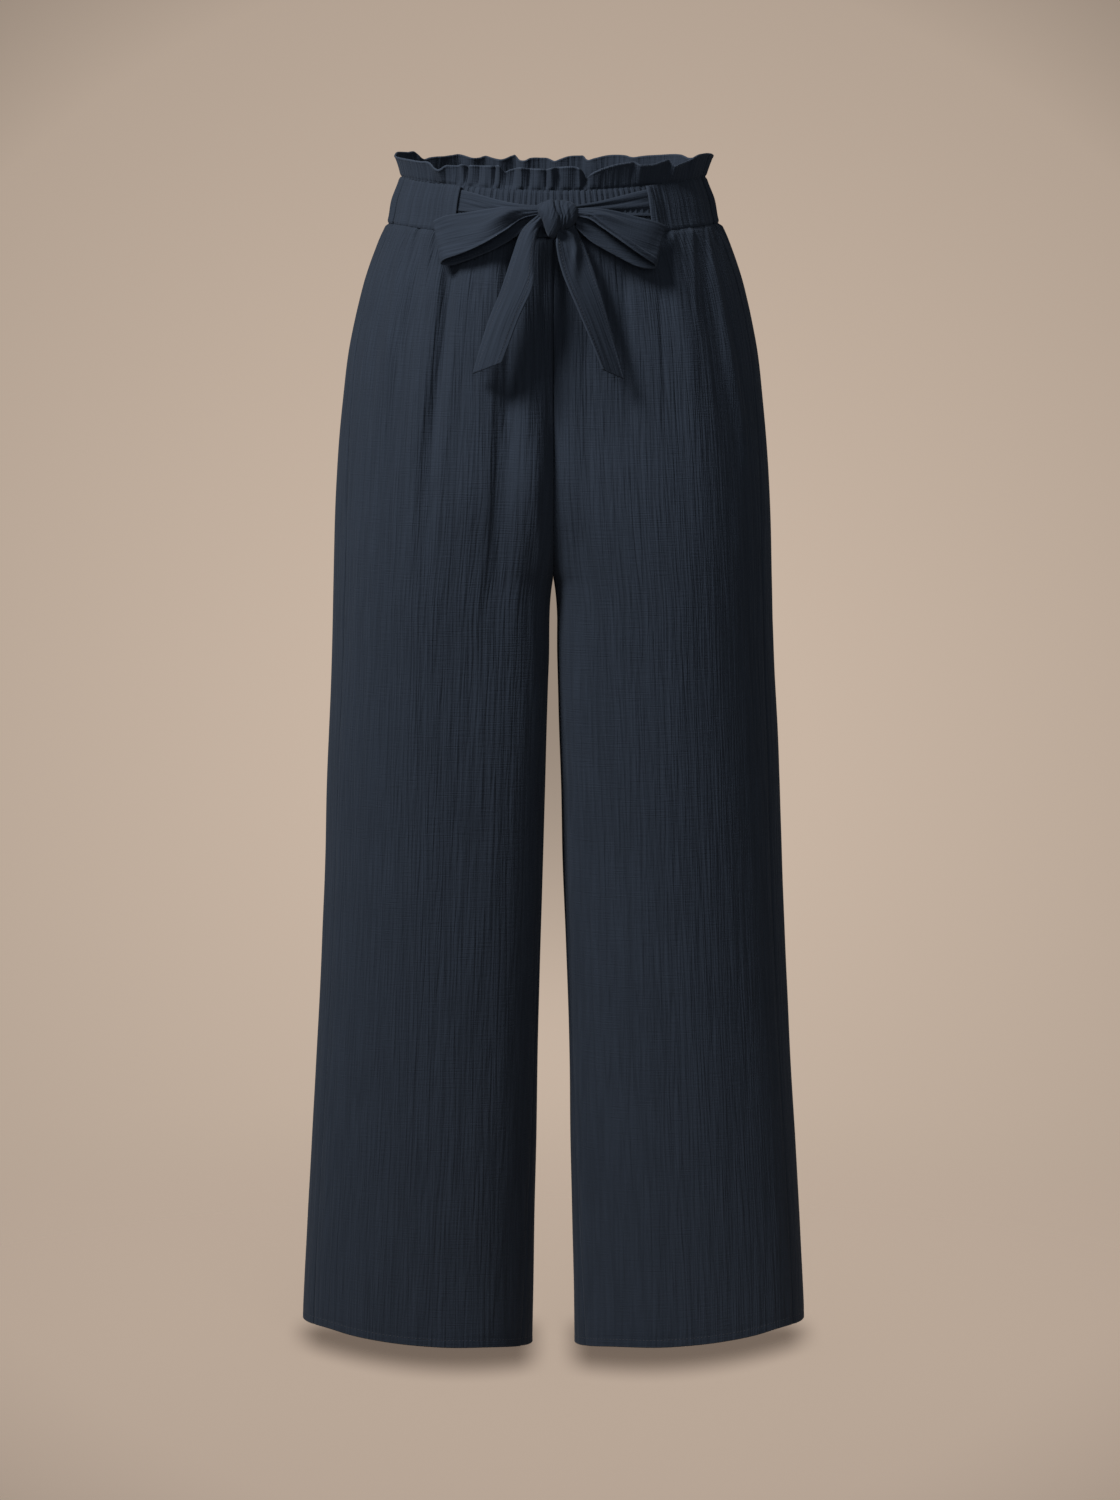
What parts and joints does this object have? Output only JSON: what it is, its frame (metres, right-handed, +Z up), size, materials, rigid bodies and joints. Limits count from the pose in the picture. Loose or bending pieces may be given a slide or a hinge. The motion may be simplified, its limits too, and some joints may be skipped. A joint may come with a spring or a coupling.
{
  "type": "paperbag waist trousers",
  "caption": "Hollow wide-leg trousers as worn, with a gathered waistband, an upstanding ruffle above it and a self-fabric tie in a bow at the front.",
  "frame": {"origin": "middle of the waist, level at the sides with the seam between the ruffle and the waistband, where the wearer's waist holds the trousers", "axes": "+Z up from hem to waist, -Y out of the front, +X to the right-hand side seen from the front"},
  "size_m": [0.4464, 0.2455, 1.0537],
  "materials": {
    "panel_crepe": "matt crinkled crepe, dark navy",
    "band_crepe": "matt crinkled crepe, dark navy",
    "ruffle_crepe": "matt crinkled crepe, dark navy",
    "tie_crepe": "matt crinkled crepe, dark navy"
  },
  "bodies": {
    "root": {"front_panel_left": "panel_crepe", "front_panel_right": "panel_crepe", "back_panel_left": "panel_crepe", "back_panel_right": "panel_crepe", "side_band_left": "band_crepe", "side_band_right": "band_crepe", "centre_band": "band_crepe", "back_band": "band_crepe", "ruffle_front": "ruffle_crepe", "ruffle_back": "ruffle_crepe", "tie_left": "tie_crepe", "tie_right": "tie_crepe", "loop_left": "tie_crepe", "loop_right": "tie_crepe", "knot": "tie_crepe", "tail_left": "tie_crepe", "tail_right": "tie_crepe"}
  },
  "joints": []
}
